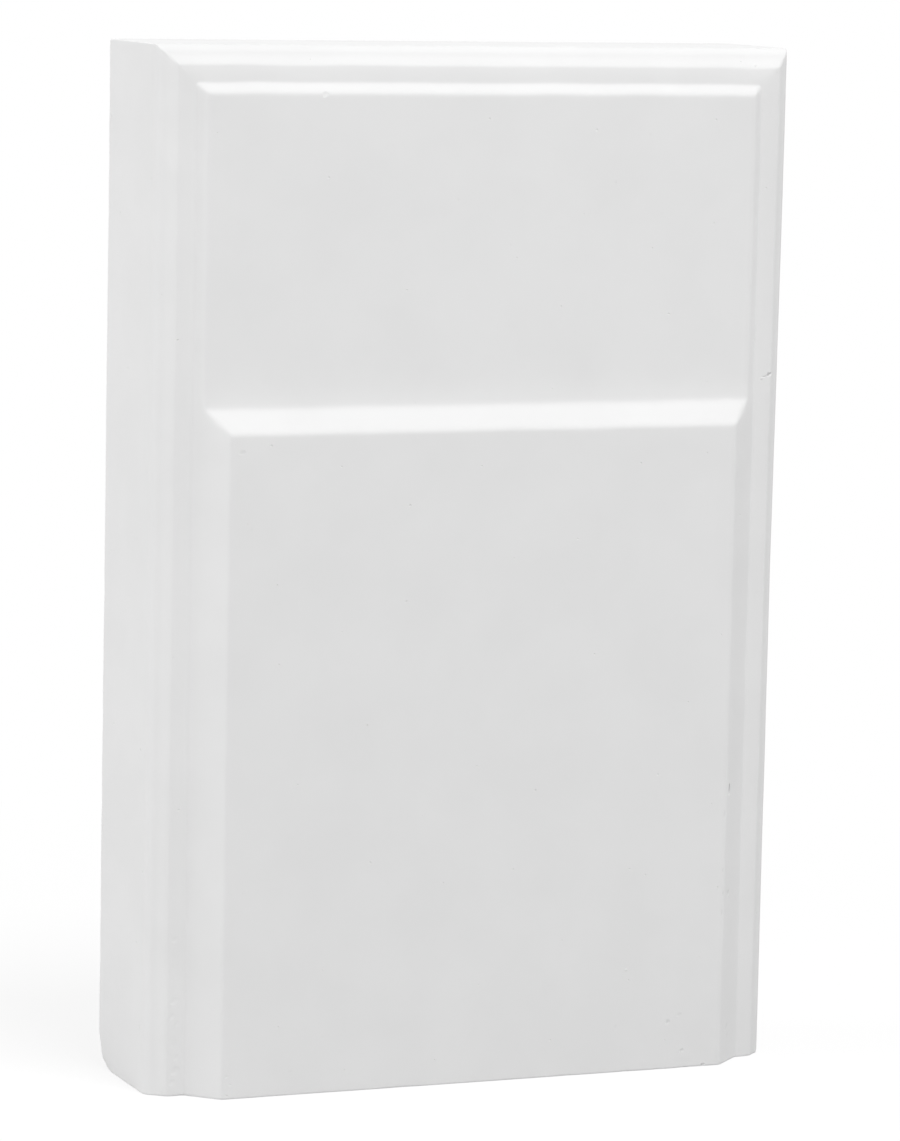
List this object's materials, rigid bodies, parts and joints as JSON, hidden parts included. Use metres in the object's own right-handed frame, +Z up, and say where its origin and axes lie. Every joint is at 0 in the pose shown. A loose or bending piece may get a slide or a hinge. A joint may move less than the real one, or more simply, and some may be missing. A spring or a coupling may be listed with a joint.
{
  "type": "plinth block",
  "caption": "Flat-backed rectangular plinth block for the foot of a door casing, with an ogee edge round its sides and top and stepped, bevelled panels on its front.",
  "frame": {"origin": "middle of the block's width and overall depth, at the foot, on the floor", "axes": "+Z up the block, -Y out of the panelled front, +Y into the wall behind it, +X to the right as seen from the front"},
  "size_m": [0.13, 0.0362, 0.2],
  "materials": {
    "plaster": "matt, as cast"
  },
  "bodies": {
    "root": {"plinth_block": "plaster"}
  },
  "joints": []
}
